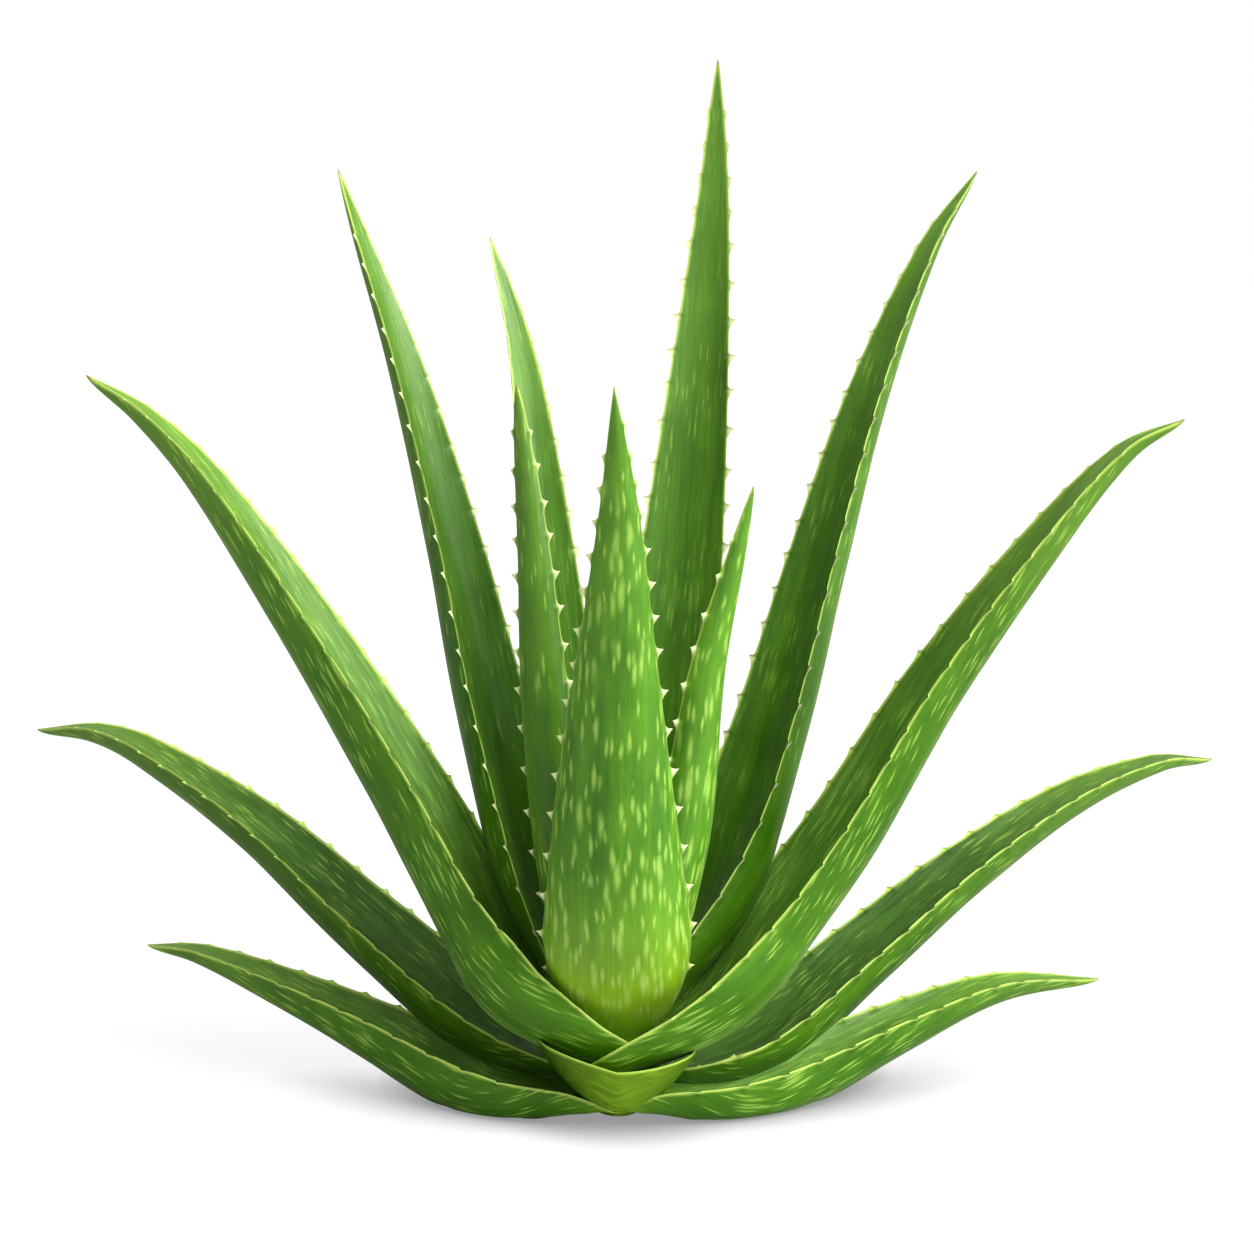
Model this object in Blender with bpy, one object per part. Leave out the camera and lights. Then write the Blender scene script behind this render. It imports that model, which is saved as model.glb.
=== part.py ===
"""An aloe plant out of its pot, standing on its cut stem and its lowest leaves.

Thick, toothed leaves leave a short stem one above another. Each leaf is a smooth spine with a
crescent section: a hollow inner face, a rounded outer face and a toothed margin on both sides.
The origin is on the floor under the middle of the plant's box, and the front of the plant faces -Y.
"""
import math
from collections import namedtuple

import bmesh
import bpy
from mathutils import Vector
from mathutils.bvhtree import BVHTree
from mathutils.geometry import interpolate_bezier

MM = 0.001
GAP = 0.4 * MM  # clear space kept between a leaf and what it grows against
TOOTH_SPACING = 16.0 * MM
TOOTH_HEIGHT = 2.4 * MM
TOOTH_START, TOOTH_END = 0.10, 0.93  # share of the leaf's length that carries teeth
STEPS_OUTSIDE, STEPS_INSIDE = 4, 3  # facets across the rounded outer face and the hollow inner face
TURN_END = 0.32  # the blade has turned from its foot's bearing to its tip's by this share of its length
FOOT_THINNESS = 0.50  # share of its usual depth that a leaf has at its clasping foot
CHANNEL = 0.45  # how deep the hollow of the inner face is, as a share of the section's depth
STEM_BOTTOM_RADIUS, STEM_TOP_RADIUS, STEM_HEIGHT = 9.0 * MM, 7.0 * MM, 60.0 * MM
STEM_WAIST_RADIUS, STEM_WAIST_HEIGHT = 11.0 * MM, 20.0 * MM
STEM_LEAN = 16.0 * MM  # how far behind its top the stem's cut end stands
SHEATH_RADIUS, SHEATH_WALL, SHEATH_REACH = 41.5 * MM, 3.0 * MM, 84
SHEATH_MIDDLE = Vector((1, -4, 0)) * MM
SHEATH_FOOT, SHEATH_FRONT_HEIGHT = 2.0 * MM, 33.5 * MM
SHEATH_LEFT_HEIGHT, SHEATH_RIGHT_HEIGHT, SHEATH_FLARE = 43.0 * MM, 40.0 * MM, 0.62
SHEATH_ROWS, SHEATH_COLUMNS = 6, 14
PLANT_SHIFT = Vector((-5, -65, 0)) * MM  # from the stem's foot, where the leaves are laid out, to the origin

# path: points along the middle of the leaf, in mm, from its foot to its tip
# faces: the compass bearing of the leaf's outer side at foot and tip, in degrees from +X
# width: the greatest width in mm; slimness: how early the blade narrows
# foot: share of that width at the foot; swell: share of the length over which the foot widens
# depth: how far the outer face bulges, as a share of the width, at foot and tip
Leaf = namedtuple("Leaf", "name path faces width slimness foot swell depth colour")

FRESH = (0.20, 0.36, 0.06)
MID_GREEN = (0.12, 0.26, 0.05)
DEEP_GREEN = (0.07, 0.17, 0.04)
PALE_BASE = (0.42, 0.52, 0.14)
CUT_STEM = (0.50, 0.44, 0.25)

LEAVES = (
    Leaf("lowest_right_leaf",
         [(0, -23, 7), (22, -13, 15), (53, 2, 18), (82, 18, 23), (134, 50, 35), (184, 76, 44),
          (235, 102, 37)],
         (-20, 20), 50, 0.60, 0.04, 0.30, (0.88, 0.50), MID_GREEN),
    Leaf("lowest_left_leaf",
         [(0, -23, 7), (-22, -12, 15), (-50, 3, 20), (-80, 20, 28), (-110, 38, 37), (-156, 61, 49),
          (-200, 84, 57), (-227, 98, 55)],
         (200, 165), 50, 0.60, 0.04, 0.30, (0.88, 0.54), MID_GREEN),
    Leaf("right_wrapping_leaf",
         [(-17, -20, 25), (6, -20, 39), (28, -14, 53), (44, -6, 67), (63, 4, 91), (97, 13, 135),
          (141, 18, 203), (196, 18, 273), (231, 21, 307), (258, 24, 318)],
         (-28, 15), 67, 0.65, 0.60, 0.25, (0.49, 0.66), MID_GREEN),
    Leaf("left_wrapping_leaf",
         [(19, -14, 25), (4, -14, 36), (-11, -12, 46), (-23, -8, 56), (-35, -2, 69), (-48, 5, 91),
          (-89, 11, 161), (-135, 13, 232), (-182, 17, 295), (-212, 20, 323), (-239, 24, 338)],
         (214, 166), 66, 0.64, 0.40, 0.22, (0.58, 0.66), MID_GREEN),
    Leaf("front_leaf",
         [(1, -6, 33), (1, -24, 85), (0, -42, 159), (1, -58, 227), (2, -75, 288), (0, -95, 344)],
         (270, 270), 82, 0.92, 0.25, 0.22, (0.32, 0.45), FRESH),
    Leaf("lower_right_leaf",
         [(8, 4, 20), (59, 41, 27), (115, 81, 60), (165, 116, 91), (225, 158, 119), (275, 192, 129),
          (306, 214, 124)],
         (20, 29), 57, 0.60, 0.50, 0.22, (0.55, 0.54), DEEP_GREEN),
    Leaf("lower_left_leaf",
         [(-8, 4, 20), (-54, 38, 37), (-120, 84, 78), (-175, 122, 115), (-235, 164, 142), (-264, 184, 147),
          (-296, 206, 141)],
         (160, 148), 57, 0.60, 0.50, 0.22, (0.55, 0.60), DEEP_GREEN),
    Leaf("inner_right_leaf",
         [(2, -8, 52), (12, -12, 77), (29, -17, 138), (40, -23, 212), (55, -28, 271), (61, -30, 294)],
         (315, 315), 44, 0.70, 0.60, 0.22, (0.40, 0.45), FRESH),
    Leaf("inner_left_leaf",
         [(-6, -6, 52), (-22, -10, 122), (-31, -14, 196), (-36, -19, 265), (-43, -25, 338)],
         (255, 255), 34, 0.60, 0.60, 0.22, (0.40, 0.45), MID_GREEN),
    Leaf("upper_right_leaf",
         [(5, 6, 35), (40, 31, 99), (69, 53, 175), (92, 72, 250), (117, 91, 325), (148, 116, 392),
          (173, 135, 426)],
         (-10, 38), 56, 0.68, 0.50, 0.22, (0.60, 0.55), MID_GREEN),
    Leaf("upper_left_leaf",
         [(-4, 6, 40), (-26, 20, 96), (-54, 43, 187), (-71, 56, 255), (-96, 78, 338), (-122, 101, 405),
          (-131, 110, 428)],
         (143, 143), 56, 0.74, 0.50, 0.22, (0.58, 0.57), MID_GREEN),
    Leaf("tall_back_leaf",
         [(2, 10, 50), (11, 22, 119), (23, 34, 188), (34, 55, 287), (41, 73, 360), (46, 90, 424),
          (48, 105, 479)],
         (75, 75), 64, 0.77, 0.50, 0.22, (0.34, 0.45), MID_GREEN),
    Leaf("back_left_leaf",
         [(-3, 8, 45), (-12, 18, 107), (-26, 34, 217), (-35, 48, 294), (-44, 59, 350), (-58, 70, 398)],
         (115, 115), 48, 0.70, 0.50, 0.22, (0.34, 0.45), MID_GREEN),
    Leaf("rear_low_leaf",
         [(0, 14, 16), (-3, 50, 20), (-8, 110, 55), (-12, 170, 92), (-16, 225, 110)],
         (95, 95), 60, 0.62, 0.50, 0.22, (0.36, 0.50), DEEP_GREEN),
    Leaf("rear_left_leaf",
         [(-4, 12, 28), (-22, 62, 70), (-44, 118, 118), (-62, 160, 146), (-74, 190, 156)],
         (118, 118), 60, 0.62, 0.50, 0.22, (0.36, 0.50), DEEP_GREEN),
    Leaf("rear_right_leaf",
         [(4, 12, 28), (22, 58, 68), (44, 112, 114), (60, 155, 140), (70, 186, 148)],
         (62, 62), 60, 0.62, 0.50, 0.22, (0.36, 0.50), DEEP_GREEN),
    Leaf("heart_leaf",
         [(0, 0, 64), (1, 2, 110), (2, 4, 160), (3, 8, 205)],
         (250, 250), 24, 0.60, 0.60, 0.22, (0.40, 0.45), FRESH),
)


def catmull_rom(points, steps=24):
    """Points along a smooth curve through the given ones, each with its share of the curve's length."""
    points = [Vector(p) * MM for p in points]
    ends = [2 * points[0] - points[1]] + points + [2 * points[-1] - points[-2]]
    curve = [points[0]]
    for before, start, end, after in zip(ends, ends[1:], ends[2:], ends[3:]):
        reach = (end - start).length
        pull = reach / ((start - before).length + reach)
        push = reach / ((after - end).length + reach)
        knot_1 = start + (end - before) * pull / 3
        knot_2 = end - (after - start) * push / 3
        curve += interpolate_bezier(start, knot_1, knot_2, end, steps + 1)[1:]
    lengths = [0.0]
    for here, there in zip(curve, curve[1:]):
        lengths.append(lengths[-1] + (there - here).length)
    return curve, [length / lengths[-1] for length in lengths], lengths[-1]


def at_share(curve, shares, share):
    """The point at this share of the curve's length, and the curve's direction there."""
    index = 1
    while index < len(shares) - 1 and shares[index] < share:
        index += 1
    here, there = curve[index - 1], curve[index]
    blend = (share - shares[index - 1]) / (shares[index] - shares[index - 1])
    return here.lerp(there, blend), (there - here).normalized()


def mix(start, end, share):
    return start + (end - start) * share


def smooth(share):
    """0 to 1 with a gentle start and end."""
    share = min(1.0, max(0.0, share))
    return share * share * (3 - 2 * share)


def blade_width(leaf, share):
    """Full width, in metres: narrow at the foot, widest low on the blade, tapering to the tip."""
    opened = 1 - (1 - leaf.foot) * max(0.0, 1 - share / leaf.swell) ** 2
    return leaf.width * MM * max(0.0, 1 - share) ** leaf.slimness * opened


def section(leaf, share, tooth):
    """The crescent around the leaf at one place, as (across, in) pairs from one margin round to it again."""
    width = blade_width(leaf, share)
    depth = width * mix(*leaf.depth, share) * mix(FOOT_THINNESS, 1, smooth(share / leaf.swell))
    hollow = depth * CHANNEL * min(1.0, (1 - share) * 3)
    points = []
    for step in range(STEPS_OUTSIDE):
        turn = math.pi * step / STEPS_OUTSIDE
        points.append((math.cos(turn) * width / 2, -math.sin(turn) * depth))
    for step in range(STEPS_INSIDE):
        turn = math.pi * (1 + step / STEPS_INSIDE)
        points.append((math.cos(turn) * width / 2, -(math.sin(turn) ** 2) * hollow))
    points[0] = (points[0][0] + tooth, 0.0)
    points[STEPS_OUTSIDE] = (points[STEPS_OUTSIDE][0] - tooth, 0.0)
    return points


def leaf_mesh(leaf):
    """One closed leaf: rings of the crescent section, every second one drawn out into a pair of teeth."""
    curve, shares, length = catmull_rom(leaf.path)
    rows = 2 * round(length / TOOTH_SPACING)
    mesh = bmesh.new()
    rings = []
    for row in range(rows):
        share = row / rows
        centre, ahead = at_share(curve, shares, share)
        bearing = math.radians(mix(*leaf.faces, smooth(share / TURN_END)))
        across = Vector((-math.sin(bearing), math.cos(bearing), 0))
        across = (across - across.dot(ahead) * ahead).normalized()
        inward = ahead.cross(across)
        toothed = row % 2 and TOOTH_START < share < TOOTH_END
        tooth = TOOTH_HEIGHT * min(1.0, (1 - share) * 3) if toothed else 0.0
        ring = []
        for side, rise in section(leaf, share, tooth):
            place = centre + across * side + inward * rise
            place.z = max(place.z, 0.0)
            ring.append(mesh.verts.new(place))
        rings.append(ring)
    for ring, following in zip(rings, rings[1:]):
        for here, there in zip(range(len(ring)), list(range(1, len(ring))) + [0]):
            mesh.faces.new((ring[here], ring[there], following[there], following[here]))
    tip = mesh.verts.new(curve[-1])
    for here, there in zip(rings[-1], rings[-1][1:] + rings[-1][:1]):
        mesh.faces.new((here, there, tip))
    mesh.faces.new(list(reversed(rings[0])))
    bmesh.ops.triangulate(mesh, faces=mesh.faces[:])
    bmesh.ops.recalc_face_normals(mesh, faces=mesh.faces[:])
    return mesh


def rim_height(turn):
    """The sheath's height from its left end, -1, to its right end, 1; it climbs sooner on the left."""
    left, right = max(0.0, -turn), max(0.0, turn)
    climb = (SHEATH_LEFT_HEIGHT - SHEATH_FRONT_HEIGHT) * (1 - (1 - left) ** 1.9)
    return SHEATH_FRONT_HEIGHT + climb + (SHEATH_RIGHT_HEIGHT - SHEATH_FRONT_HEIGHT) * right ** 3.2


def sheath_mesh():
    """The clasping foot of a shed leaf: a thin bowl round the front of the stem with a dipped rim."""
    mesh = bmesh.new()
    outer, inner = [], []
    for row in range(SHEATH_ROWS + 1):
        rise = row / SHEATH_ROWS
        outer.append([])
        inner.append([])
        for column in range(SHEATH_COLUMNS + 1):
            turn = mix(-1, 1, column / SHEATH_COLUMNS)
            angle = math.radians(270 + SHEATH_REACH * turn)
            height = mix(SHEATH_FOOT, rim_height(turn), rise)
            radius = SHEATH_RADIUS * mix(0.09, 1, rise ** SHEATH_FLARE)
            wall = SHEATH_WALL * (1 - 0.6 * rise) * (1 - 0.6 * turn ** 4)
            direction = Vector((math.cos(angle), math.sin(angle), 0))
            place = SHEATH_MIDDLE + Vector((0, 0, height))
            outer[-1].append(mesh.verts.new(place + direction * radius))
            inner[-1].append(mesh.verts.new(place + direction * (radius - wall)))
    for near, far in ((outer, 0), (inner, 1)):
        for low, high in zip(near, near[1:]):
            for column in range(SHEATH_COLUMNS):
                corners = [low[column], low[column + 1], high[column + 1], high[column]]
                mesh.faces.new(corners[::-1] if far else corners)
    for row in range(SHEATH_ROWS):
        for column in (0, SHEATH_COLUMNS):
            mesh.faces.new((outer[row][column], outer[row + 1][column], inner[row + 1][column], inner[row][column]))
    for column in range(SHEATH_COLUMNS):
        for row in (0, SHEATH_ROWS):
            mesh.faces.new((outer[row][column], outer[row][column + 1], inner[row][column + 1], inner[row][column]))
    bmesh.ops.triangulate(mesh, faces=mesh.faces[:])
    bmesh.ops.recalc_face_normals(mesh, faces=mesh.faces[:])
    return mesh


def stem_mesh():
    """The short leaning stem: cut flat across the bottom, a little stouter where the lowest leaves leave it."""
    mesh = bmesh.new()
    rings = []
    for radius, height in ((STEM_BOTTOM_RADIUS, 0), (STEM_WAIST_RADIUS, STEM_WAIST_HEIGHT),
                           (STEM_TOP_RADIUS, STEM_HEIGHT)):
        circle = bmesh.ops.create_circle(mesh, segments=12, radius=radius)["verts"]
        bmesh.ops.translate(mesh, verts=circle, vec=(0, STEM_LEAN * (1 - height / STEM_HEIGHT), height))
        rings.append(circle)
    for low, high in zip(rings, rings[1:]):
        edges = [e for e in mesh.edges if all(v in low for v in e.verts) or all(v in high for v in e.verts)]
        bmesh.ops.bridge_loops(mesh, edges=edges)
    mesh.faces.new(rings[0])
    mesh.faces.new(rings[-1])
    bmesh.ops.triangulate(mesh, faces=mesh.faces[:])
    bmesh.ops.recalc_face_normals(mesh, faces=mesh.faces[:])
    return mesh


def material(name, colour, roughness):
    made = bpy.data.materials.new(name)
    made.use_nodes = True
    shader = made.node_tree.nodes["Principled BSDF"]
    shader.inputs["Base Color"].default_value = (*colour, 1)
    shader.inputs["Roughness"].default_value = roughness
    made.diffuse_color = (*colour, 1)
    return made


def object_from(mesh, name):
    data = bpy.data.meshes.new(name)
    mesh.to_mesh(data)
    made = bpy.data.objects.new(name, data)
    bpy.context.scene.collection.objects.link(made)
    return made


def grown(mesh, by):
    """A copy of the mesh with every point moved out along its normal."""
    copy = mesh.copy()
    copy.normal_update()
    for vert in copy.verts:
        vert.co += vert.normal * by
    return copy


def enclosed_volume(piece):
    """The volume inside these vertices' faces."""
    faces = {face for vert in piece for face in vert.link_faces}
    return sum(face.calc_center_median().dot(face.normal) * face.calc_area() for face in faces) / 3


def keep_largest_piece(mesh):
    """Removes every loose piece but the one that encloses the most."""
    left, pieces = set(mesh.verts), []
    while left:
        piece, to_visit = set(), {left.pop()}
        while to_visit:
            vert = to_visit.pop()
            piece.add(vert)
            to_visit |= {edge.other_vert(vert) for edge in vert.link_edges} - piece
        left -= piece
        pieces.append(piece)
    pieces.sort(key=enclosed_volume)
    for piece in pieces[:-1]:
        bmesh.ops.delete(mesh, geom=list(piece), context="VERTS")


def trimmed(mesh, cutters):
    """The mesh with the space of each overlapping cutter taken out of it."""
    body = object_from(mesh, "body")
    for cutter in cutters:
        cut = body.modifiers.new("cut", "BOOLEAN")
        cut.operation = "DIFFERENCE"
        cut.solver = "EXACT"
        cut.object = cutter
    evaluated = body.evaluated_get(bpy.context.evaluated_depsgraph_get())
    result = bmesh.new()
    result.from_mesh(evaluated.to_mesh())
    evaluated.to_mesh_clear()
    bpy.data.objects.remove(body)
    bmesh.ops.triangulate(result, faces=result.faces[:])
    keep_largest_piece(result)
    return result


def add_piece(mesh, name, colour, roughness, before):
    """Trims the piece against those already there, and adds the space it fills to them."""
    bmesh.ops.translate(mesh, verts=mesh.verts[:], vec=PLANT_SHIFT)
    tree = BVHTree.FromBMesh(mesh)
    touching = [cutter for other, cutter in before if tree.overlap(other)]
    cutter = object_from(grown(mesh, GAP), name + "_space")
    cutter.hide_render = True
    cutter.display_type = "WIRE"
    shape = trimmed(mesh, touching) if touching else mesh
    before.append((BVHTree.FromBMesh(mesh), cutter))
    piece = object_from(shape, name)
    piece.data.materials.append(material(name, colour, roughness))
    piece.data.shade_smooth()
    piece.data.set_sharp_from_angle(angle=math.radians(50))


def main():
    for old in list(bpy.data.objects):
        bpy.data.objects.remove(old)
    placed = []
    add_piece(stem_mesh(), "cut_stem", CUT_STEM, 0.8, placed)
    for leaf in LEAVES[:2]:
        add_piece(leaf_mesh(leaf), leaf.name, leaf.colour, 0.4, placed)
    add_piece(sheath_mesh(), "clasping_sheath", PALE_BASE, 0.45, placed)
    for leaf in LEAVES[2:]:
        add_piece(leaf_mesh(leaf), leaf.name, leaf.colour, 0.4, placed)


main()
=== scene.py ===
"""The aloe plant's looks: fleshy toothed leaves with spots and streaks, a pale sheath and a cut stem."""
import math
from collections import namedtuple

import bmesh
import bpy
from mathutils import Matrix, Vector, noise
from mathutils.geometry import interpolate_bezier


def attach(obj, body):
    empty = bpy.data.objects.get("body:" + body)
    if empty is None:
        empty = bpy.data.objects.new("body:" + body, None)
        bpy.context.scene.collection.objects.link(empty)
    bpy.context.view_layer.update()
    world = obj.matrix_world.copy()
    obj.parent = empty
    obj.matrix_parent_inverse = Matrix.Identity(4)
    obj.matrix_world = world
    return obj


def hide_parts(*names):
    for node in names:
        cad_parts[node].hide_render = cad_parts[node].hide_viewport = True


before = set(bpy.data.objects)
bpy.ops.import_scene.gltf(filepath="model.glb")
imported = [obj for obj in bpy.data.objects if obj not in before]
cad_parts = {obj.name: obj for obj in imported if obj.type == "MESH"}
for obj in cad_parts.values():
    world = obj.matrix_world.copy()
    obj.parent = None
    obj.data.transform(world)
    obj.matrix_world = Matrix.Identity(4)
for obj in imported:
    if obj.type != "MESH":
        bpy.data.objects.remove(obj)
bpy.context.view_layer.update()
MM = 0.001
PLANT_SHIFT = Vector((-5, -65, 0)) * MM  # from the stem's foot, where the leaves are laid out, to the origin

# The camera comes first.
TARGET = Vector((0.0004, -0.065, 0.2265))
CAMERA_DISTANCE, CAMERA_RISE = 1.6, 9.0
VIEW_WIDTH = 564.3 * MM  # how much the camera takes in across the target

camera_data = bpy.data.cameras.new("camera")
camera = bpy.data.objects.new("camera", camera_data)
bpy.context.scene.collection.objects.link(camera)
camera_data.sensor_width = 36
camera_data.lens = 36 * CAMERA_DISTANCE / VIEW_WIDTH
rise = math.radians(CAMERA_RISE)
camera.location = TARGET + CAMERA_DISTANCE * Vector((0, -math.cos(rise), math.sin(rise)))
camera.rotation_euler = (TARGET - camera.location).to_track_quat("-Z", "Y").to_euler()
bpy.context.scene.camera = camera
bpy.context.scene.view_settings.view_transform = "Standard"

# path: points along the middle of the leaf, in mm, from its foot to its tip
# faces: the compass bearing of the leaf's outer side at foot and tip, in degrees from +X
# width: the greatest width in mm; slimness: how early the blade narrows
# foot: share of that width at the foot; swell: share of the length over which the foot widens
# depth: how far the outer face bulges, as a share of the width, at foot and tip; skin: a name in SKINS
Leaf = namedtuple("Leaf", "name path faces width slimness foot swell depth skin")

LEAVES = (
    Leaf("lowest_right_leaf",
         [(0, -23, 7), (22, -13, 15), (53, 2, 18), (82, 18, 23), (134, 50, 35), (184, 76, 44),
          (235, 102, 37)],
         (-20, 20), 50, 0.60, 0.04, 0.30, (0.88, 0.50), "streaked"),
    Leaf("lowest_left_leaf",
         [(0, -23, 7), (-22, -12, 15), (-50, 3, 20), (-80, 20, 28), (-110, 38, 37), (-156, 61, 49),
          (-200, 84, 57), (-227, 98, 55)],
         (200, 165), 50, 0.60, 0.04, 0.30, (0.88, 0.54), "streaked"),
    Leaf("right_wrapping_leaf",
         [(-17, -20, 25), (6, -20, 39), (28, -14, 53), (44, -6, 67), (63, 4, 91), (97, 13, 135),
          (141, 18, 203), (196, 18, 273), (231, 21, 307), (258, 24, 318)],
         (-28, 15), 67, 0.65, 0.60, 0.25, (0.49, 0.66), "streaked"),
    Leaf("left_wrapping_leaf",
         [(19, -14, 25), (4, -14, 36), (-11, -12, 46), (-23, -8, 56), (-35, -2, 69), (-48, 5, 91),
          (-89, 11, 161), (-135, 13, 232), (-182, 17, 295), (-212, 20, 323), (-239, 24, 338)],
         (214, 166), 66, 0.64, 0.40, 0.22, (0.58, 0.66), "streaked"),
    Leaf("front_leaf",
         [(1, -6, 33), (1, -24, 85), (0, -42, 159), (1, -58, 227), (2, -75, 288), (0, -95, 344)],
         (270, 270), 82, 0.92, 0.25, 0.22, (0.32, 0.45), "spotted"),
    Leaf("lower_right_leaf",
         [(8, 4, 20), (59, 41, 27), (115, 81, 60), (165, 116, 91), (225, 158, 119), (275, 192, 129),
          (306, 214, 124)],
         (20, 29), 57, 0.60, 0.50, 0.22, (0.55, 0.54), "deep"),
    Leaf("lower_left_leaf",
         [(-8, 4, 20), (-54, 38, 37), (-120, 84, 78), (-175, 122, 115), (-235, 164, 142), (-264, 184, 147),
          (-296, 206, 141)],
         (160, 148), 57, 0.60, 0.50, 0.22, (0.55, 0.60), "deep"),
    Leaf("inner_right_leaf",
         [(2, -8, 52), (12, -12, 77), (29, -17, 138), (40, -23, 212), (55, -28, 271), (61, -30, 294)],
         (315, 315), 44, 0.70, 0.60, 0.22, (0.40, 0.45), "spotted"),
    Leaf("inner_left_leaf",
         [(-6, -6, 52), (-22, -10, 122), (-31, -14, 196), (-36, -19, 265), (-43, -25, 338)],
         (255, 255), 34, 0.60, 0.60, 0.22, (0.40, 0.45), "plain"),
    Leaf("upper_right_leaf",
         [(5, 6, 35), (40, 31, 99), (69, 53, 175), (92, 72, 250), (117, 91, 325), (148, 116, 392),
          (173, 135, 426)],
         (-10, 38), 56, 0.68, 0.50, 0.22, (0.60, 0.55), "plain"),
    Leaf("upper_left_leaf",
         [(-4, 6, 40), (-26, 20, 96), (-54, 43, 187), (-71, 56, 255), (-96, 78, 338), (-122, 101, 405),
          (-131, 110, 428)],
         (143, 143), 56, 0.74, 0.50, 0.22, (0.58, 0.57), "plain"),
    Leaf("tall_back_leaf",
         [(2, 10, 50), (11, 22, 119), (23, 34, 188), (34, 55, 287), (41, 73, 360), (46, 90, 424),
          (48, 105, 479)],
         (75, 75), 64, 0.77, 0.50, 0.22, (0.34, 0.45), "plain"),
    Leaf("back_left_leaf",
         [(-3, 8, 45), (-12, 18, 107), (-26, 34, 217), (-35, 48, 294), (-44, 59, 350), (-58, 70, 398)],
         (115, 115), 48, 0.70, 0.50, 0.22, (0.34, 0.45), "plain"),
    Leaf("rear_low_leaf",
         [(0, 14, 16), (-3, 50, 20), (-8, 110, 55), (-12, 170, 92), (-16, 225, 110)],
         (95, 95), 60, 0.62, 0.50, 0.22, (0.36, 0.50), "deep"),
    Leaf("rear_left_leaf",
         [(-4, 12, 28), (-22, 62, 70), (-44, 118, 118), (-62, 160, 146), (-74, 190, 156)],
         (118, 118), 60, 0.62, 0.50, 0.22, (0.36, 0.50), "deep"),
    Leaf("rear_right_leaf",
         [(4, 12, 28), (22, 58, 68), (44, 112, 114), (60, 155, 140), (70, 186, 148)],
         (62, 62), 60, 0.62, 0.50, 0.22, (0.36, 0.50), "deep"),
    Leaf("heart_leaf",
         [(0, 0, 64), (1, 2, 110), (2, 4, 160), (3, 8, 205)],
         (250, 250), 24, 0.60, 0.60, 0.22, (0.40, 0.45), "plain"),
)

TURN_END = 0.32  # the blade has turned from its foot's bearing to its tip's by this share of its length
FOOT_THINNESS = 0.50  # share of its usual depth that a leaf has at its clasping foot
FOOT_PINCH, PINCH_END = 0.5, 0.05  # share of its width that a foot's end keeps, and where that is over
CHANNEL = 0.45  # how deep the hollow of the inner face is, as a share of the section's depth
SWAY, RIPPLE = 0.03, 0.02  # unevenness of the margins and of the faces, as shares of the half width
COLUMNS = 32  # round the section, half on the outer face and half on the inner
ROW_STEP, LEAST_STEP = 4.0 * MM, 0.28 * MM
ROWS_BY_TOOTH = (-5.5, -3.6, -2.4, -1.4, -0.7, 0.0, 0.35, 0.8, 1.5, 3.2)  # mm from the tooth's point
ROWS_BY_TIP = (0.3, 0.8, 1.5, 2.4)  # mm back from the leaf's tip
TOOTH_SPACING, TOOTH_HEIGHT, TOOTH_HOOK = 18.5 * MM, 3.4 * MM, 0.9 * MM
TOOTH_ROOT = 2.1 * MM  # how far round the margin a tooth's root spreads
TOOTH_ABOVE, TOOTH_BELOW = (1.9, 5.0), (4.6, 8.0)  # mm of margin that a tooth's steep part and slope take
FLOOR_GAP, FLOOR_ROUNDING = 0.1 * MM, 3.0 * MM  # how high and how gently an underside settles
SAME_PLACE = 0.02 * MM  # corners closer together than this become one


def mix(start, end, share):
    return start + (end - start) * share


def smooth(share):
    """0 to 1 with a gentle start and end."""
    share = min(1.0, max(0.0, share))
    return share * share * (3 - 2 * share)


def finished(mesh, name):
    """The mesh as an object of the scene, smooth, with its faces turned outwards."""
    bmesh.ops.recalc_face_normals(mesh, faces=mesh.faces[:])
    data = bpy.data.meshes.new(name)
    mesh.to_mesh(data)
    mesh.free()
    data.shade_smooth()
    piece = bpy.data.objects.new(name, data)
    bpy.context.scene.collection.objects.link(piece)
    return piece


def smooth_curve(points, steps=24):
    """Points along a smooth curve through the given ones, with each one's distance along it."""
    points = [Vector(p) * MM for p in points]
    ends = [2 * points[0] - points[1]] + points + [2 * points[-1] - points[-2]]
    curve = [points[0]]
    for before, start, end, after in zip(ends, ends[1:], ends[2:], ends[3:]):
        reach = (end - start).length
        pull = reach / ((start - before).length + reach)
        push = reach / ((after - end).length + reach)
        knot_1 = start + (end - before) * pull / 3
        knot_2 = end - (after - start) * push / 3
        curve += interpolate_bezier(start, knot_1, knot_2, end, steps + 1)[1:]
    lengths = [0.0]
    for here, there in zip(curve, curve[1:]):
        lengths.append(lengths[-1] + (there - here).length)
    return curve, lengths


def at_distance(curve, lengths, distance):
    """The point this far along the curve, and the curve's direction there."""
    index = 1
    while index < len(lengths) - 1 and lengths[index] < distance:
        index += 1
    here, there = curve[index - 1], curve[index]
    blend = (distance - lengths[index - 1]) / (lengths[index] - lengths[index - 1])
    before, after = curve[max(0, index - 2)], curve[min(len(curve) - 1, index + 1)]
    ahead = (there - before).normalized().lerp((after - here).normalized(), blend)
    return here.lerp(there, blend), ahead.normalized()


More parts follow.
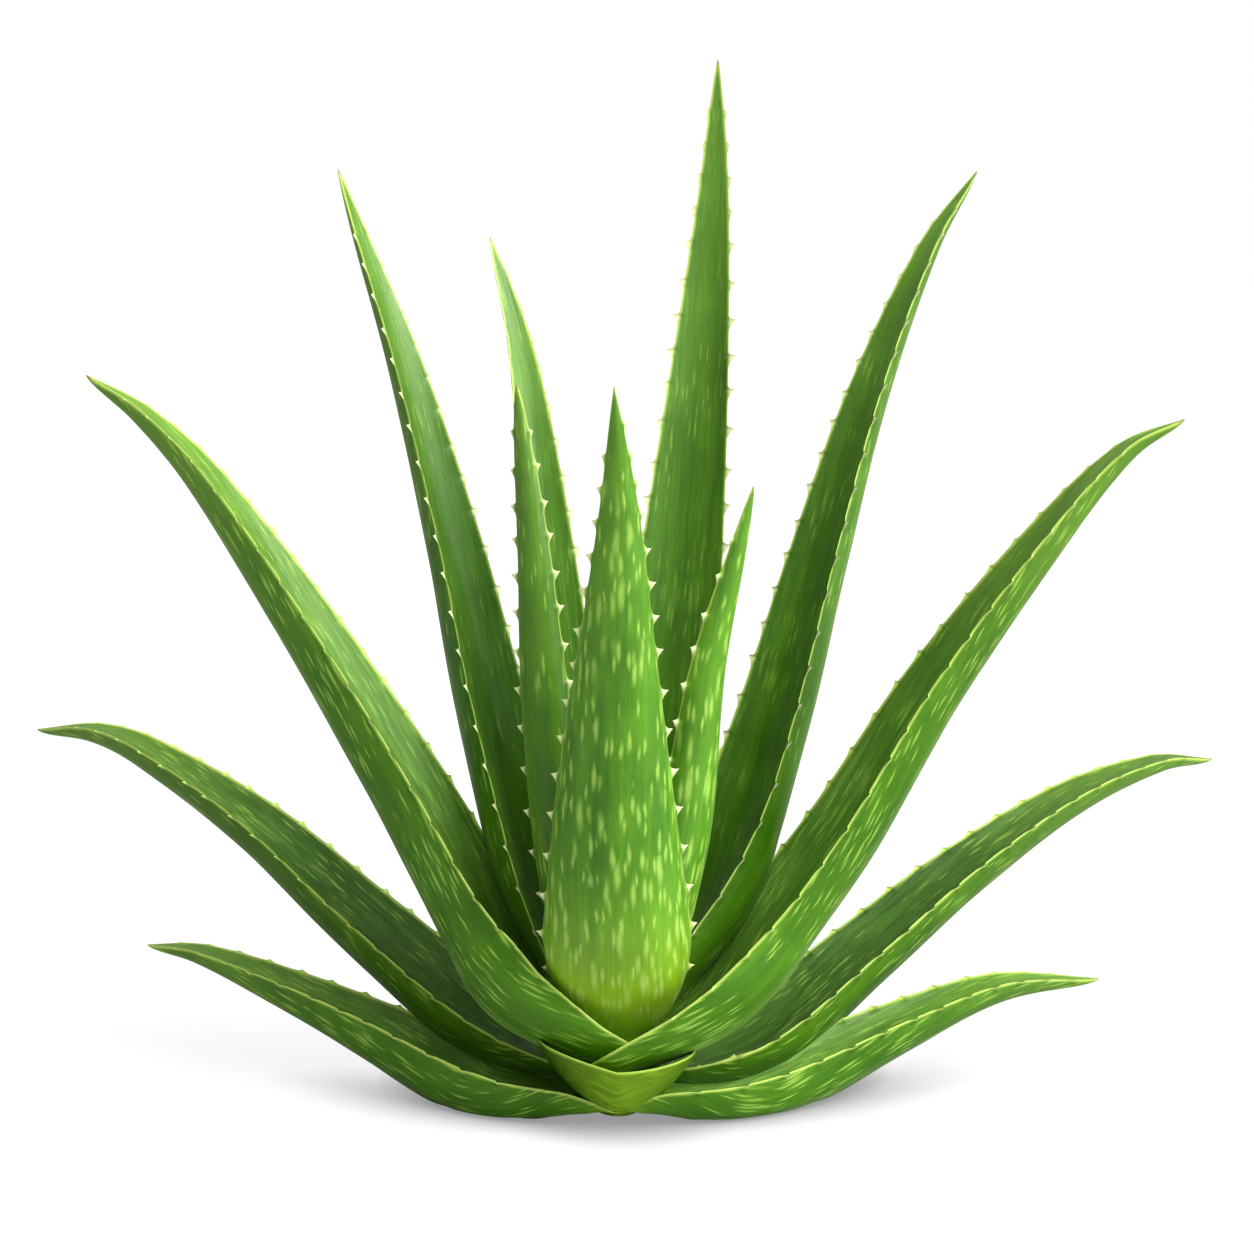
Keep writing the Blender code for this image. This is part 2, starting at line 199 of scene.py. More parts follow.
def teeth_along(length, seed):
    """Where each tooth of one margin stands, as (distance, height), smaller near the foot and the tip."""
    teeth = []
    place = length * 0.09 + TOOTH_SPACING * (0.5 + 0.5 * noise.noise((seed, 0.5, 0)))
    while place < length * 0.95:
        share = place / length
        size = smooth(share / 0.22) * 0.6 + 0.4
        size *= min(1.0, 0.35 + (1 - share) * 2.2) * (1 + 0.25 * noise.noise((seed, place * 90, 3)))
        teeth.append((place, TOOTH_HEIGHT * size))
        place += TOOTH_SPACING * (1 + 0.22 * noise.noise((seed, place * 70, 7))) * mix(1.12, 0.8, share)
    return teeth


def tooth_shape(offset):
    """Height of a tooth, 0 to 1, this far from its point in mm: steep above, sloping below."""
    steep, slope = TOOTH_ABOVE if offset > 0 else TOOTH_BELOW
    away = abs(offset)
    return 0.85 * max(0.0, 1 - away / steep) ** 1.6 + 0.15 * max(0.0, 1 - away / slope) ** 2


def rows_along(length, both_teeth):
    """Distances of the leaf's rings: evenly spaced, and close together at every tooth and at the tip."""
    steps = round(length / ROW_STEP)
    places = [length * step / steps for step in range(steps + 1)]
    places += [length - back * MM for back in ROWS_BY_TIP]
    for teeth in both_teeth:
        places += [place + offset * MM for place, _ in teeth for offset in ROWS_BY_TOOTH]
    keep = {place for teeth in both_teeth for place, _ in teeth} | {0.0, length}
    kept = []
    for place in sorted(p for p in places if 0 <= p <= length):
        if kept and place - kept[-1] < LEAST_STEP:
            if place in keep:
                kept[-1] = place
            continue
        kept.append(place)
    return kept


def outline(leaf, share):
    """The section's half width, depth and hollow at this share of the length."""
    opened = 1 - (1 - leaf.foot) * max(0.0, 1 - share / leaf.swell) ** 2
    opened *= mix(FOOT_PINCH, 1, smooth(share / PINCH_END))
    width = leaf.width * MM * max(0.0, 1 - share) ** leaf.slimness * opened
    depth = width * mix(*leaf.depth, share) * mix(FOOT_THINNESS, 1, smooth(share / leaf.swell))
    return width / 2, depth, depth * CHANNEL * min(1.0, (1 - share) * 3)


def turn_of(column):
    """The angle round the section at this column, with the columns crowded towards both margins."""
    half = COLUMNS // 2
    part, lap = column % half, column // half
    step = part / half
    return math.pi * (lap + step - 0.13 * math.sin(2 * math.pi * step))


def section_point(turn, depth, hollow):
    """How far across, -1 to 1, and how far in the skin is at this angle round the section."""
    if turn < math.pi:
        return math.cos(turn), -depth * math.sin(turn) ** 1.12
    return math.cos(turn), -hollow * math.sin(turn) ** 2


def distances_round(shape, turns):
    """Each column's distance along the skin from the middle of its face."""
    half, depth, hollow = shape
    points = []
    for turn in turns:
        side, bulge = section_point(turn, depth, hollow)
        points.append((side * half, bulge))
    lengths = [0.0]
    for here, there in zip(points, points[1:]):
        lengths.append(lengths[-1] + math.dist(here, there))
    margin, end = lengths[COLUMNS // 2], lengths[-1]
    return [length - margin / 2 if length <= margin else length - (margin + end) / 2 for length in lengths]


def leaf_piece(leaf, seed):
    """One leaf, made from a grid wrapped round its crescent section and closed at the foot and the tip."""
    curve, lengths = smooth_curve(leaf.path)
    length = lengths[-1]
    both_teeth = (teeth_along(length, seed), teeth_along(length, seed + 0.5))
    places = rows_along(length, both_teeth)
    rows = len(places) - 1
    mesh = bmesh.new()
    bmesh.ops.create_grid(mesh, x_segments=COLUMNS, y_segments=rows, size=1, calc_uvs=True)
    share_layer = mesh.verts.layers.float.new("share")
    edge_layer = mesh.verts.layers.float.new("edge")
    tooth_layer = mesh.verts.layers.float.new("tooth")
    frames = []
    for place in places:
        share = place / length
        centre, ahead = at_distance(curve, lengths, place)
        bearing = math.radians(mix(*leaf.faces, smooth(share / TURN_END)))
        across = Vector((-math.sin(bearing), math.cos(bearing), 0))
        across = (across - across.dot(ahead) * ahead).normalized()
        heights = []
        for teeth in both_teeth:
            heights.append(sum(height * tooth_shape((place - point) / MM) for point, height in teeth
                               if abs(place - point) < TOOTH_BELOW[1] * MM))
        sway = noise.noise((seed * 3.1, share * 4.0, 1.7)) * SWAY
        inward = ahead.cross(across)
        frames.append((share, centre, ahead, across, inward, heights, outline(leaf, share), sway))
    turns = [turn_of(column) for column in range(COLUMNS + 1)]
    round_section = [distances_round(frame[6], turns) for frame in frames]
    reach = {}
    grid_place = {}
    for vert in mesh.verts:
        column = round((vert.co.x + 1) / 2 * COLUMNS)
        row = round((vert.co.y + 1) / 2 * rows)
        grid_place[vert] = (column, row)
        share, centre, ahead, across, inward, heights, (half, depth, hollow), sway = frames[row]
        turn = turns[column]
        side, bulge = section_point(turn, depth, hollow)
        near = 0 if side > 0 else 1
        edge = math.hypot((1 - abs(side)) * half, bulge)
        grip = max(0.0, 1 - edge / TOOTH_ROOT) ** 1.6
        height = heights[near]
        push = height * grip * (1 if side > 0 else -1)
        hook = TOOTH_HOOK * grip * (height / TOOTH_HEIGHT) ** 2
        place = centre + across * (side * half * (1 + sway) + push) + inward * bulge + ahead * hook
        ripple = noise.noise(Vector((side * 5 + seed, share * 9, 2.0 if column < COLUMNS // 2 else 5.0)))
        place += inward * ripple * RIPPLE * half * abs(math.sin(turn))
        place.z = FLOOR_GAP + (place.z + math.hypot(place.z, FLOOR_ROUNDING)) / 2
        vert.co = place + PLANT_SHIFT
        vert[share_layer] = share
        vert[edge_layer] = edge
        vert[tooth_layer] = min(1.0, height / TOOTH_HEIGHT) * grip
        reach[vert] = round_section[row][column]
    skin_map = mesh.loops.layers.uv.active or mesh.loops.layers.uv.new("skin")
    for face in mesh.faces:
        inner = min(grid_place[vert][0] for vert in face.verts) >= COLUMNS // 2
        for loop in face.loops:
            share = loop.vert[share_layer]
            loop[skin_map].uv = (reach[loop.vert] + (1.0 if inner else 0.0), share * length)
    bmesh.ops.remove_doubles(mesh, verts=mesh.verts[:], dist=SAME_PLACE)
    openings = [edge for edge in mesh.edges if edge.is_boundary]
    bmesh.ops.holes_fill(mesh, edges=openings, sides=0)
    piece = finished(mesh, leaf.name + "_flesh")
    piece.data.uv_layers[0].name = "skin"
    return piece


# ---- finishes ----

class Nodes:
    """A short way to add linked nodes to one tree."""

    def __init__(self, tree):
        self.tree = tree

    def add(self, kind, settings=None, **inputs):
        made = self.tree.nodes.new(kind)
        for key, value in (settings or {}).items():
            setattr(made, key, value)
        for key, value in inputs.items():
            numbered = key[0] == "i" and key[1:].isdigit()
            self.give(made, int(key[1:]) if numbered else key.replace("_", " "), value)
        return made

    def give(self, node, key, value):
        socket = node.inputs[key]
        if isinstance(value, bpy.types.NodeSocket):
            self.tree.links.new(value, socket)
        else:
            socket.default_value = value

    def math(self, operation, first, second=0.0, third=0.0):
        made = self.add("ShaderNodeMath", {"operation": operation}, i0=first, i1=second, i2=third)
        return made.outputs[0]

    def ramp(self, value, low, high, start=0.0, end=1.0):
        """value from low to high, as start to end with soft shoulders."""
        made = self.add("ShaderNodeMapRange", {"interpolation_type": "SMOOTHSTEP"}, Value=value, From_Min=low,
                        From_Max=high, To_Min=start, To_Max=end)
        return made.outputs[0]

    def blend(self, factor, first, second):
        made = self.add("ShaderNodeMix", {"data_type": "RGBA"})
        self.give(made, 0, factor)
        self.give(made, 6, first)
        self.give(made, 7, second)
        return made.outputs[2]

    def vector(self, x=0.0, y=0.0, z=0.0):
        return self.add("ShaderNodeCombineXYZ", None, i0=x, i1=y, i2=z).outputs[0]

    def noise(self, vector, scale, detail=2.0, roughness=0.5):
        made = self.add("ShaderNodeTexNoise", None, Vector=vector, Scale=scale, Detail=detail,
                        Roughness=roughness)
        return made.outputs[0]


def new_material(name):
    """A material, its nodes and its main shader."""
    made = bpy.data.materials.new(name)
    made.use_nodes = True
    return made, Nodes(made.node_tree), made.node_tree.nodes["Principled BSDF"]


def group(name, inputs, outputs):
    """An empty shader node group with these named sockets, and its input and output nodes."""
    tree = bpy.data.node_groups.new(name, "ShaderNodeTree")
    for label, kind in inputs:
        tree.interface.new_socket(label, in_out="INPUT", socket_type=kind)
    for label, kind in outputs:
        tree.interface.new_socket(label, in_out="OUTPUT", socket_type=kind)
    return tree, tree.nodes.new("NodeGroupInput"), tree.nodes.new("NodeGroupOutput")


FLOAT, VECTOR = "NodeSocketFloat", "NodeSocketVector"


def spots_group():
    """Pale soft spots drawn out along the leaf, in loose bands and partly run together."""
    sockets = [("Along", VECTOR), ("Wide", FLOAT), ("Long", FLOAT), ("Amount", FLOAT)]
    tree, given, out = group("pale_spots", sockets, [("Mask", FLOAT)])
    n = Nodes(tree)
    parts = n.add("ShaderNodeSeparateXYZ", None, i0=given.outputs["Along"])
    wobble = n.noise(given.outputs["Along"], 110.0, 2.0)
    bands = n.ramp(n.noise(given.outputs["Along"], 34.0, 1.0), 0.35, 0.65)
    amount = n.math("MULTIPLY_ADD", bands, 0.5, given.outputs["Amount"])
    masks = []
    for layer, finer in enumerate((1.0, 0.72)):
        u = n.math("MULTIPLY_ADD", wobble, 0.45, n.math("DIVIDE", parts.outputs[0], given.outputs["Wide"]))
        v = n.math("MULTIPLY_ADD", wobble, 0.12, n.math("DIVIDE", parts.outputs[1], given.outputs["Long"]))
        shifted = n.vector(n.math("MULTIPLY_ADD", u, 1 / finer, layer * 3.7),
                           n.math("MULTIPLY_ADD", v, 1 / finer, layer * 8.3))
        cells = n.add("ShaderNodeTexVoronoi", {"voronoi_dimensions": "2D"}, Vector=shifted, Scale=1.0,
                      Randomness=1.0)
        chance = n.add("ShaderNodeSeparateColor", None, i0=cells.outputs["Color"])
        size = n.math("MULTIPLY_ADD", chance.outputs[1], 0.26, 0.20)
        inside = n.ramp(n.math("DIVIDE", cells.outputs["Distance"], size), 1.0, 0.10)
        there = n.ramp(n.math("SUBTRACT", amount, chance.outputs[0]), 0.25, 0.60)
        masks.append(n.math("MULTIPLY", inside, there))
    tree.links.new(n.math("MAXIMUM", *masks), out.inputs["Mask"])
    return tree


def streaks_group():
    """Uneven lines that run along the leaf, broad and thin ones together, from 0 to 1."""
    tree, given, out = group("lengthwise_streaks", [("Along", VECTOR), ("Broad", FLOAT), ("Thin", FLOAT)],
                             [("Broad Lines", FLOAT), ("Thin Lines", FLOAT)])
    n = Nodes(tree)
    parts = n.add("ShaderNodeSeparateXYZ", None, i0=given.outputs["Along"])
    drift = n.noise(given.outputs["Along"], 45.0, 2.0)
    for size, stretch, label in (("Broad", 12.0, "Broad Lines"), ("Thin", 34.0, "Thin Lines")):
        u = n.math("MULTIPLY_ADD", drift, 0.8, n.math("DIVIDE", parts.outputs[0], given.outputs[size]))
        v = n.math("MULTIPLY", parts.outputs[1], stretch)
        lines = n.noise(n.vector(u, v, parts.outputs[2]), 1.0, 3.0, 0.62)
        tree.links.new(n.ramp(lines, 0.30, 0.70), out.inputs[label])
    return tree


SPOTS, STREAKS = spots_group(), streaks_group()

PALE_FOOT = (0.56, 0.90, 0.03, 1)
PALE_TIP = (0.23, 0.43, 0.06, 1)
DRY_POINT = (0.30, 0.15, 0.05, 1)
MARGIN = (0.50, 0.66, 0.12, 1)
SPOT = (0.40, 0.66, 0.09, 1)
PALE_SPOT = (0.62, 0.82, 0.20, 1)
GRAZING_SHEEN = (0.30, 0.44, 0.16, 1)  # painted sheen: a pale grey-green that stands in for the waxy skin's reflection of the bright surroundings where the skin turns away

# outer and inner: dark and light greens of each face; streak: how strongly thin lines darken each face
# spot_strength: outside and inside; spot_size: width and length in mm
# spot_amount: how many places have a spot
# foot_reach: share of the length that the pale foot fades over; foot_strength: how pale it is
# tip: how pale the leaf turns towards its tip; rim: width of the pale margin in mm
# tooth: colour of the teeth; shine: how much the skin reflects
Skin = namedtuple("Skin", "outer inner streak spot_strength spot_size spot_amount"
                  " foot_reach foot_strength tip rim tooth shine")
CREAM, GREEN_CREAM = (0.88, 0.92, 0.48, 1), (0.55, 0.74, 0.14, 1)
SKINS = {
    "spotted": Skin(outer=((0.038, 0.165, 0.001), (0.110, 0.330, 0.001)),
                    inner=((0.05, 0.16, 0.003), (0.11, 0.27, 0.010)),
                    streak=(0.08, 0.20), spot_strength=(0.64, 0.10), spot_size=(5.4, 26), spot_amount=0.82,
                    foot_reach=0.37, foot_strength=0.85, tip=0.10, rim=1.0, tooth=CREAM, shine=0.9),
    "streaked": Skin(outer=((0.030, 0.125, 0.001), (0.080, 0.240, 0.001)),
                     inner=((0.062, 0.175, 0.010), (0.140, 0.305, 0.036)),
                     streak=(0.15, 0.46), spot_strength=(0.55, 0.36), spot_size=(3.0, 28), spot_amount=0.55,
                     foot_reach=0.10, foot_strength=0.5, tip=0.30, rim=1.5, tooth=GREEN_CREAM, shine=0.5),
    "deep": Skin(outer=((0.030, 0.110, 0.001), (0.075, 0.210, 0.001)),
                 inner=((0.030, 0.098, 0.006), (0.082, 0.205, 0.020)),
                 streak=(0.15, 0.58), spot_strength=(0.50, 0.36), spot_size=(2.8, 26), spot_amount=0.48,
                 foot_reach=0.08, foot_strength=0.5, tip=0.30, rim=1.5, tooth=GREEN_CREAM, shine=0.5),
    "plain": Skin(outer=((0.030, 0.120, 0.001), (0.080, 0.230, 0.001)),
                  inner=((0.032, 0.126, 0.001), (0.086, 0.250, 0.006)),
                  streak=(0.14, 0.26), spot_strength=(0.45, 0.26), spot_size=(3.4, 26), spot_amount=0.36,
                  foot_reach=0.12, foot_strength=0.8, tip=0.22, rim=1.2, tooth=CREAM, shine=0.8),
}


def leaf_material(name, skin, seed):
    made, n, shader = new_material(name)
    uv = n.add("ShaderNodeUVMap", {"uv_map": "skin"}).outputs[0]
    parts = n.add("ShaderNodeSeparateXYZ", None, i0=uv)
    inner = n.math("GREATER_THAN", parts.outputs[0], 0.5)
    along = n.vector(n.math("ADD", parts.outputs[0], seed * 0.7),
                     n.math("ADD", parts.outputs[1], seed * 1.3), seed)
    share = n.add("ShaderNodeAttribute", {"attribute_name": "share"}).outputs["Fac"]
    edge = n.add("ShaderNodeAttribute", {"attribute_name": "edge"}).outputs["Fac"]
    tooth = n.add("ShaderNodeAttribute", {"attribute_name": "tooth"}).outputs["Fac"]
    streaks = n.add("ShaderNodeGroup", {"node_tree": STREAKS}, Along=along, Broad=0.0065, Thin=0.0014)
    broad, thin = streaks.outputs[0], streaks.outputs[1]
    patches = n.noise(along, 30.0, 3.0)
    tone = n.math("MULTIPLY_ADD", broad, 0.55, n.ramp(patches, 0.3, 0.7, 0.0, 0.45))
    outer_colour = n.blend(tone, (*skin.outer[0], 1), (*skin.outer[1], 1))
    inner_colour = n.blend(tone, (*skin.inner[0], 1), (*skin.inner[1], 1))
    colour = n.blend(inner, outer_colour, inner_colour)
    lining = n.math("MULTIPLY_ADD", inner, skin.streak[1] - skin.streak[0], skin.streak[0])
    lining = n.math("MULTIPLY", lining, n.math("SUBTRACT", 1.0, thin))
    colour = n.blend(lining, colour, (0.012, 0.040, 0.002, 1))
    spots = n.add("ShaderNodeGroup", {"node_tree": SPOTS}, Along=along, Wide=skin.spot_size[0] * MM,
                  Long=skin.spot_size[1] * MM, Amount=skin.spot_amount).outputs[0]
    outside, inside = skin.spot_strength
    strength = n.math("MULTIPLY_ADD", inner, inside - outside, outside)
    foot = n.ramp(n.math("MULTIPLY_ADD", thin, 0.03, share), 0.0, skin.foot_reach, skin.foot_strength, 0.0)
    colour = n.blend(n.math("POWER", foot, 1.6), colour, PALE_FOOT)
    colour = n.blend(n.ramp(share, 0.45, 0.95, 0.0, skin.tip), colour, PALE_TIP)
    colour = n.blend(n.math("MULTIPLY", spots, strength), colour, n.blend(foot, SPOT, PALE_SPOT))
    rim_width = n.math("MULTIPLY_ADD", broad, 0.4 * skin.rim * MM, 0.8 * skin.rim * MM)
    rim = n.ramp(n.math("DIVIDE", edge, rim_width), 0.1, 1.3, 0.85, 0.0)
    colour = n.blend(rim, colour, MARGIN)
    colour = n.blend(n.ramp(tooth, 0.06, 0.5, 0.0, 0.95), colour, skin.tooth)
    colour = n.blend(n.ramp(share, 0.988, 0.998, 0.0, 0.9), colour, DRY_POINT)
    # Painted sheen: the outer faces turn paler where they turn away from the view, standing in for reflected
    # light.
    facing = n.add("ShaderNodeLayerWeight", None, Blend=0.5).outputs["Facing"]
    painted_sheen = n.math("MULTIPLY", n.ramp(facing, 0.50, 1.0, 0.0, 0.35), n.math("SUBTRACT", 1.0, inner))
    colour = n.blend(painted_sheen, colour, GRAZING_SHEEN)
    n.give(shader, "Base Color", colour)
    n.give(shader, "Roughness", n.ramp(patches, 0.3, 0.7, 0.38, 0.50))
    height = n.math("MULTIPLY_ADD", thin, 0.4, n.math("MULTIPLY", broad, 0.6))
    bump = n.add("ShaderNodeBump", None, Strength=0.4, Distance=0.0005, Height=height)
    n.give(shader, "Normal", bump.outputs[0])
    shader.inputs["IOR"].default_value = 1.45
    shader.inputs["Specular IOR Level"].default_value = skin.shine
    shader.inputs["Specular Tint"].default_value = (0.85, 1.0, 0.7, 1)
    shader.inputs["Subsurface Weight"].default_value = 0.05
    shader.inputs["Subsurface Radius"].default_value = (0.5, 1.0, 0.1)
    shader.inputs["Subsurface Scale"].default_value = 0.006
    return made


# ---- the clasping sheath and the stem ----

SHEATH_RADIUS, SHEATH_SKIN = 41.5 * MM, 0.6 * MM
SHEATH_REACH = 84  # degrees to each side of its middle
SHEATH_TUCK, TUCK_START = 0.14, 0.6  # how far its ends turn in, as a share of the radius, and from where
SHEATH_DROOP, DROOP_START = 9.0 * MM, 0.7  # how far its rim falls at the ends, and from where
SHEATH_MIDDLE, SHEATH_BULGE = Vector((1, -4, 0)) * MM, 1.08
SHEATH_FOOT, SHEATH_FRONT_HEIGHT = 2.0 * MM, 33.5 * MM
SHEATH_LEFT_HEIGHT, SHEATH_RIGHT_HEIGHT, SHEATH_FLARE = 43.0 * MM, 40.0 * MM, 0.62
# the stem's radius and height in mm, from the cut upwards
STEM_PROFILE = ((8.4, 0.0), (9.0, 0.8), (10.6, 10.0), (11.0, 20.0), (9.0, 42.0), (7.0, 60.0))
STEM_LEAN, STEM_HEIGHT = 16.0 * MM, 60.0 * MM


def rim_height(turn):
    """The sheath's height from its left end, -1, to its right end, 1; it climbs sooner on the left."""
    left, right = max(0.0, -turn), max(0.0, turn)
    climb = (SHEATH_LEFT_HEIGHT - SHEATH_FRONT_HEIGHT) * (1 - (1 - left) ** 1.9)
    return SHEATH_FRONT_HEIGHT + climb + (SHEATH_RIGHT_HEIGHT - SHEATH_FRONT_HEIGHT) * right ** 1.6


def sheath_piece():
    """The pale foot of a shed leaf: a thin bowl round the front of the stem with a dipped rim."""
    columns, rows = 96, 24
    mesh = bmesh.new()
    bmesh.ops.create_grid(mesh, x_segments=columns, y_segments=rows, size=1, calc_uvs=True)
    share_layer = mesh.verts.layers.float.new("share")
    turn_layer = mesh.verts.layers.float.new("turn")
    for vert in mesh.verts:
        turn, rise = vert.co.x, (vert.co.y + 1) / 2
        angle = math.radians(270 + SHEATH_REACH * turn)
        droop = smooth((abs(turn) - DROOP_START) / (1 - DROOP_START)) * SHEATH_DROOP
        height = mix(SHEATH_FOOT, rim_height(turn) - droop, rise)
        radius = SHEATH_RADIUS * mix(0.09, 1, rise ** SHEATH_FLARE)
        tuck = SHEATH_TUCK * smooth((abs(turn) - TUCK_START) / (1 - TUCK_START))
        radius *= 1 + 0.012 * noise.noise((turn * 3, rise * 2, 0.4)) - tuck
        direction = Vector((math.cos(angle), SHEATH_BULGE * math.sin(angle), 0))
        vert.co = SHEATH_MIDDLE + direction * radius + Vector((0, 0, height)) + PLANT_SHIFT
        vert[share_layer] = rise
        vert[turn_layer] = turn
    bmesh.ops.recalc_face_normals(mesh, faces=mesh.faces[:])
    bmesh.ops.solidify(mesh, geom=mesh.faces[:], thickness=SHEATH_SKIN)
    return finished(mesh, "clasping_sheath_skin")


def sheath_material():
    made, n, shader = new_material("sheath_skin")
    place = n.add("ShaderNodeTexCoord").outputs["Object"]
    share = n.add("ShaderNodeAttribute", {"attribute_name": "share"}).outputs["Fac"]
    turn = n.add("ShaderNodeAttribute", {"attribute_name": "turn"}).outputs["Fac"]
    sag = n.math("MULTIPLY", n.math("POWER", n.math("ABSOLUTE", turn), 2.0), -0.35)
    drift = n.math("MULTIPLY", n.noise(place, 70.0, 2.0), 0.5)
    height = n.math("ADD", n.math("ADD", share, sag), drift)
    folds = n.vector(n.math("MULTIPLY", turn, 3.0), n.math("MULTIPLY", height, 10.0))
    wrinkles = n.ramp(n.noise(folds, 1.0, 2.0), 0.35, 0.65)
    patches = n.ramp(n.noise(place, 60.0, 2.0), 0.3, 0.7)
    colour = n.blend(wrinkles, (0.130, 0.270, 0.001, 1), (0.220, 0.420, 0.001, 1))
    colour = n.blend(n.ramp(patches, 0.0, 1.0, 0.0, 0.4), colour, (0.140, 0.300, 0.001, 1))
    # Painted shade: the sheath darkens towards its left end, away from the light, and towards its right end,
    # where it runs in under the right wrapping leaf.
    colour = n.blend(n.ramp(turn, 0.05, -0.65, 0.0, 0.88), colour, (0.030, 0.095, 0.001, 1))
    colour = n.blend(n.ramp(turn, 0.05, 0.75, 0.0, 0.85), colour, (0.055, 0.140, 0.001, 1))
    middle = n.ramp(n.math("ABSOLUTE", turn), 0.45, 0.95, 1.0, 0.0)
    colour = n.blend(n.math("MULTIPLY", n.ramp(share, 0.95, 0.99, 0.0, 0.6), middle), colour,
                     (0.45, 0.62, 0.10, 1))
    n.give(shader, "Base Color", colour)
    n.give(shader, "Roughness", n.ramp(patches, 0.0, 1.0, 0.42, 0.54))
    shader.inputs["Specular Tint"].default_value = (0.8, 1.0, 0.5, 1)
    shader.inputs["Specular IOR Level"].default_value = 0.3
    bump = n.add("ShaderNodeBump", None, Strength=0.3, Distance=0.0004, Height=wrinkles)
    n.give(shader, "Normal", bump.outputs[0])
    return made


def stem_piece():
    mesh = bmesh.new()
    start = mesh.verts.new((0, 0, 0))
    profile = [mesh.verts.new((radius * MM, 0, height * MM)) for radius, height in STEM_PROFILE]
    profile = [start] + profile + [mesh.verts.new((0, 0, STEM_PROFILE[-1][1] * MM))]
    edges = [mesh.edges.new(pair) for pair in zip(profile, profile[1:])]
    bmesh.ops.spin(mesh, geom=profile + edges, axis=(0, 0, 1), cent=(0, 0, 0), steps=48, angle=math.tau,
                   use_merge=True)
    bmesh.ops.remove_doubles(mesh, verts=mesh.verts[:], dist=SAME_PLACE)
    for vert in mesh.verts:
        vert.co.y += STEM_LEAN * (1 - vert.co.z / STEM_HEIGHT)
    bmesh.ops.translate(mesh, verts=mesh.verts[:], vec=PLANT_SHIFT)
    return finished(mesh, "cut_stem_bark")


def stem_material():
    made, n, shader = new_material("cut_stem_bark")
    place = n.add("ShaderNodeTexCoord").outputs["Object"]
    stretched = n.add("ShaderNodeMapping", None, Vector=place, Scale=(700.0, 700.0, 60.0)).outputs[0]
    fibres = n.ramp(n.noise(stretched, 1.0, 4.0, 0.6), 0.3, 0.7)
    colour = n.blend(fibres, (0.22, 0.17, 0.07, 1), (0.55, 0.50, 0.28, 1))
    n.give(shader, "Base Color", colour)
    n.give(shader, "Roughness", n.ramp(fibres, 0.0, 1.0, 0.70, 0.85))
    bump = n.add("ShaderNodeBump", None, Strength=0.6, Distance=0.0006, Height=fibres)
    n.give(shader, "Normal", bump.outputs[0])
    return made


def stand_for(piece, node, material):
    piece.data.materials.append(material)
    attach(piece, "root")
    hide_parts(node)


for number, leaf in enumerate(LEAVES):
    piece = leaf_piece(leaf, number * 1.37 + 0.2)
    stand_for(piece, leaf.name, leaf_material(leaf.name + "_skin", SKINS[leaf.skin], number * 0.83 + 0.1))
stand_for(sheath_piece(), "clasping_sheath", sheath_material())
stand_for(stem_piece(), "cut_stem", stem_material())


# ---- the studio ----

SHADOW_REACH = 36 * MM  # how far from the plant the floor's painted contact shadow reaches


def grey(level):
    return (level, level, level, 1)


floor_mesh = bmesh.new()
bmesh.ops.create_grid(floor_mesh, x_segments=2, y_segments=2, size=6)
floor = finished(floor_mesh, "floor")
floor_material, floor_nodes, floor_shader = new_material("floor")
floor_rays = floor_nodes.add("ShaderNodeLightPath")
seen = floor_rays.outputs["Is Camera Ray"]
bounce = floor_nodes.blend(floor_rays.outputs["Is Diffuse Ray"], grey(0.15), grey(0.6))
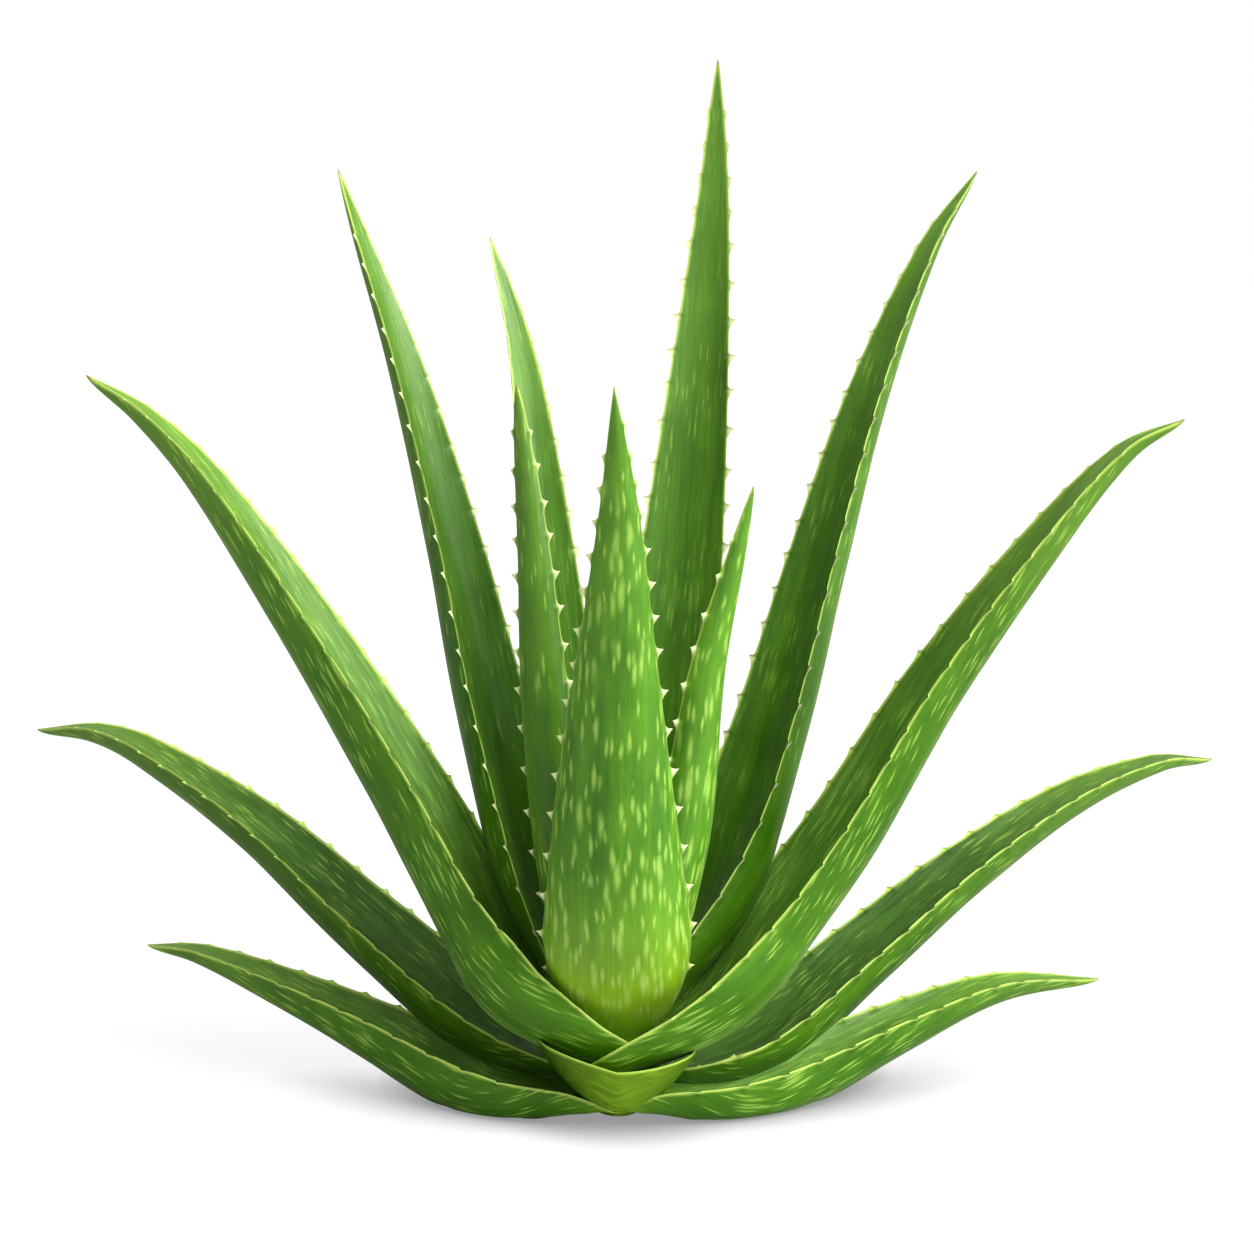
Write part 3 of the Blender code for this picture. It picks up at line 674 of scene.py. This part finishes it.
# Painted shadow: an ambient-occlusion node darkens the floor's seen colour and its glow near the plant.
clear_of_painted_shadow = floor_nodes.add("ShaderNodeAmbientOcclusion", {"samples": 8}, Distance=SHADOW_REACH).outputs["AO"]
clear_of_painted_shadow = floor_nodes.ramp(clear_of_painted_shadow, 0.1, 1.0)
shaded = floor_nodes.blend(clear_of_painted_shadow, grey(0.05), grey(0.15))
floor_nodes.give(floor_shader, "Base Color", floor_nodes.blend(seen, bounce, shaded))
glow = floor_nodes.math("MULTIPLY_ADD", clear_of_painted_shadow, 0.54, 0.30)
floor_nodes.give(floor_shader, "Emission Strength", floor_nodes.math("MULTIPLY", seen, glow))
floor_shader.inputs["Emission Color"].default_value = (1.0, 1.0, 1.0, 1)
floor_shader.inputs["Roughness"].default_value = 0.8
floor_shader.inputs["Specular IOR Level"].default_value = 0.2
floor.data.materials.append(floor_material)

world = bpy.data.worlds.new("studio")
bpy.context.scene.world = world
world.use_nodes = True
world_nodes = Nodes(world.node_tree)
soft = world.node_tree.nodes["Background"]
soft.inputs["Color"].default_value = (1.0, 1.0, 1.0, 1)
soft.inputs["Strength"].default_value = 0.11
backdrop = world_nodes.add("ShaderNodeBackground", None, Color=(1.0, 1.0, 1.0, 1), Strength=1.0)
world_rays = world_nodes.add("ShaderNodeLightPath").outputs
shown = world_nodes.math("MULTIPLY_ADD", world_rays["Is Glossy Ray"], 0.2, world_rays["Is Camera Ray"])
mixed = world_nodes.add("ShaderNodeMixShader", None, i0=shown, i1=soft.outputs[0], i2=backdrop.outputs[0])
world.node_tree.links.new(mixed.outputs[0], world.node_tree.nodes["World Output"].inputs["Surface"])


def sun_light(name, azimuth, elevation, strength, spread, shines):
    """A far soft light; azimuth 0 is in front of the plant and 90 on its right; shines: seen as a sheen."""
    data = bpy.data.lights.new(name, "SUN")
    data.energy = strength
    data.angle = math.radians(spread)
    light = bpy.data.objects.new(name, data)
    turn, lift = math.radians(azimuth), math.radians(elevation)
    towards = Vector((math.sin(turn) * math.cos(lift), -math.cos(turn) * math.cos(lift), math.sin(lift)))
    light.rotation_euler = towards.to_track_quat("Z", "Y").to_euler()
    light.visible_glossy = shines
    bpy.context.scene.collection.objects.link(light)


sun_light("key", 60, 46, 3.6, 36, True)
sun_light("side", 80, 16, 2.0, 36, True)
sun_light("top", -20, 76, 1.3, 60, False)
sun_light("front", 12, 22, 0.6, 60, False)
sun_light("back", 200, 30, 1.0, 60, False)
